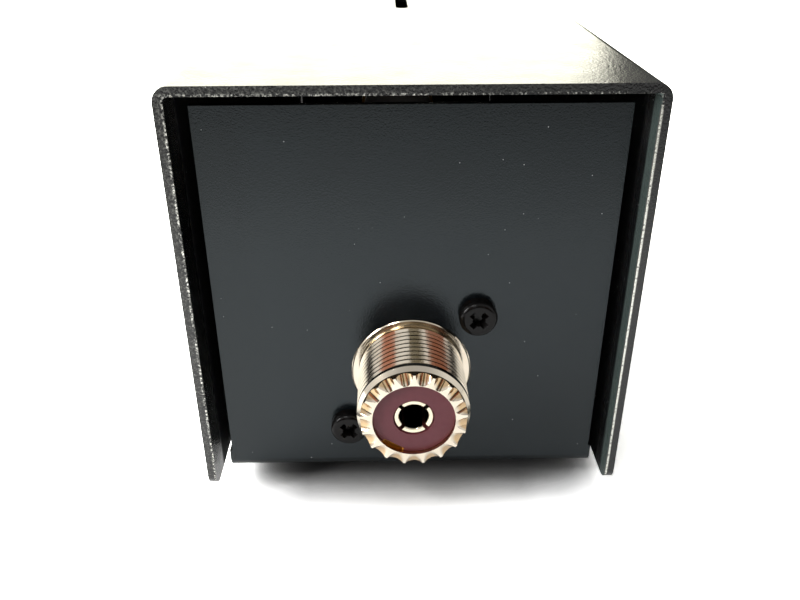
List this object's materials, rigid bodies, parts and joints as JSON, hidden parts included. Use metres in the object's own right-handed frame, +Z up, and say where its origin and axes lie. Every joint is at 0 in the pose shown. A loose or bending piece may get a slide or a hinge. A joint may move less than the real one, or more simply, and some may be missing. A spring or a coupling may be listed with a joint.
{
  "type": "rf dummy load",
  "caption": "Box-shaped air-cooled RF dummy load: folded black cover with vent slots, recessed front panel with a threaded coaxial socket, and a rod resistor in clips inside.",
  "frame": {"origin": "on the table, under the middle of the whole part's box", "axes": "+Z up, the socket faces -Y, +X to the right of someone facing the socket"},
  "size_m": [0.0676, 0.172, 0.0664],
  "materials": {
    "cover_paint": "black fine-texture baked paint on steel sheet",
    "panel_paint": "satin black paint on steel sheet",
    "black_screw": "black oxide, glossy",
    "rubber": "moulded black rubber, matt",
    "nickel": "bright nickel plate over brass",
    "phenolic": "red-brown moulded phenolic",
    "contact_plating": "silver plate over brass",
    "zinc_steel": "zinc plated",
    "resistor_ceramic": "carbon-ceramic body with metal-sprayed ends",
    "clip_bronze": "spring bronze strip",
    "steatite": "cream glazed steatite",
    "brass": "turned brass",
    "copper": "bare copper strip"
  },
  "bodies": {
    "root": {"cover": "cover_paint", "chassis": "panel_paint", "cover_screws": "black_screw", "foot_front_left": "rubber", "foot_front_right": "rubber", "foot_rear_left": "rubber", "foot_rear_right": "rubber", "connector_shell": "nickel", "connector_insulator": "phenolic", "center_contact": "contact_plating", "flange_screws": "black_screw", "flange_lock_washers": "zinc_steel", "flange_nuts": "zinc_steel", "resistor_rod": "resistor_ceramic", "front_clip": "clip_bronze", "rear_clip": "clip_bronze", "clip_screws": "zinc_steel", "ceramic_pillar": "steatite", "ground_pillar": "brass", "pillar_screws": "black_screw", "contact_strap": "copper"}
  },
  "joints": []
}
